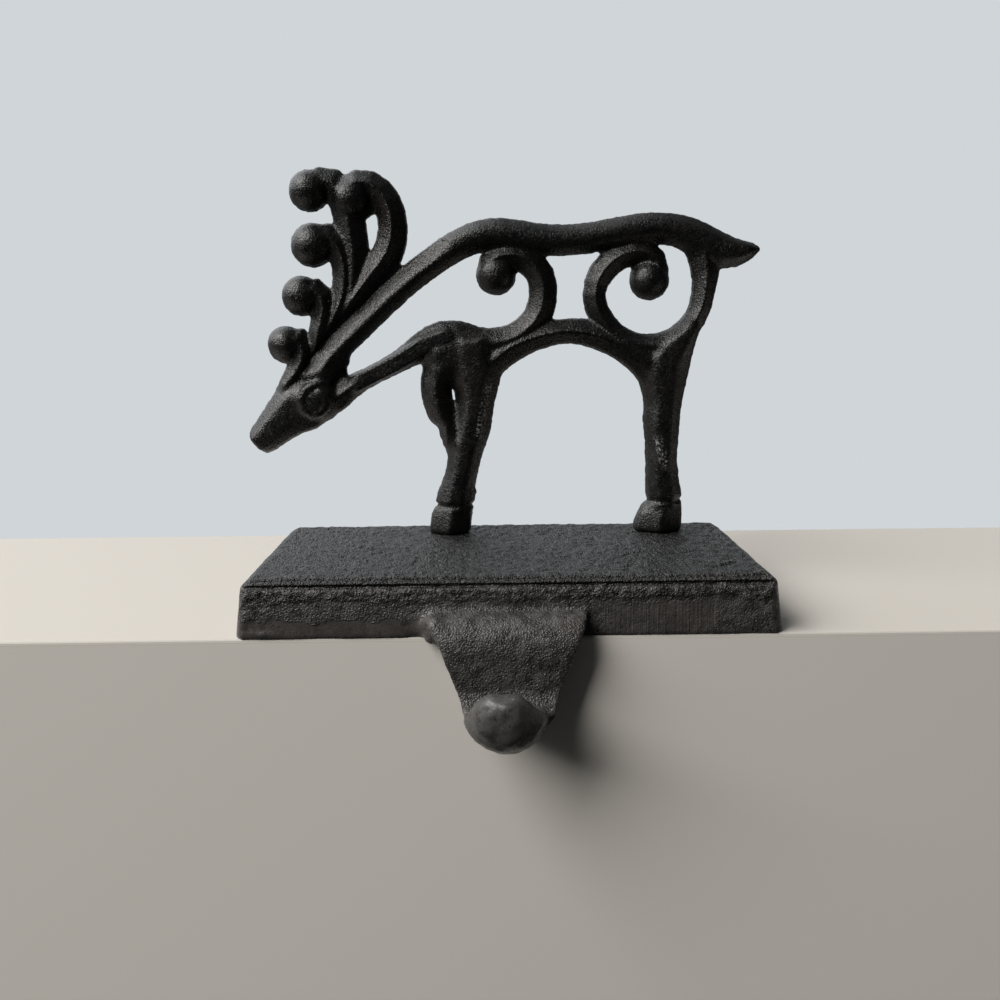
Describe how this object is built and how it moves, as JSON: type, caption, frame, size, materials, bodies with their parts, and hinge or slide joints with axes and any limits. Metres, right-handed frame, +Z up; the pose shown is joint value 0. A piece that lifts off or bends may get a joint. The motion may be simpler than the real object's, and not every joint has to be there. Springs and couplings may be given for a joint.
{
  "type": "mantel stocking holder",
  "caption": "Mantel stocking holder: a heavy bevelled block with a broad hook turned down and up at its front, and a flat openwork scroll reindeer standing near its back edge.",
  "frame": {"origin": "centre of the block's underside, where it sits on the mantel shelf", "axes": "+Z up, -Y to the front, where the hook hangs over the shelf's edge, +X to the right seen from the front"},
  "size_m": [0.1489, 0.0963, 0.1418],
  "materials": {
    "black_iron": "satin black paint over sand-cast grain",
    "screw_steel": "zinc-plated"
  },
  "bodies": {
    "root": {"base_with_hook": "black_iron", "reindeer_figure": "black_iron", "leg_screws": "screw_steel"}
  },
  "joints": []
}
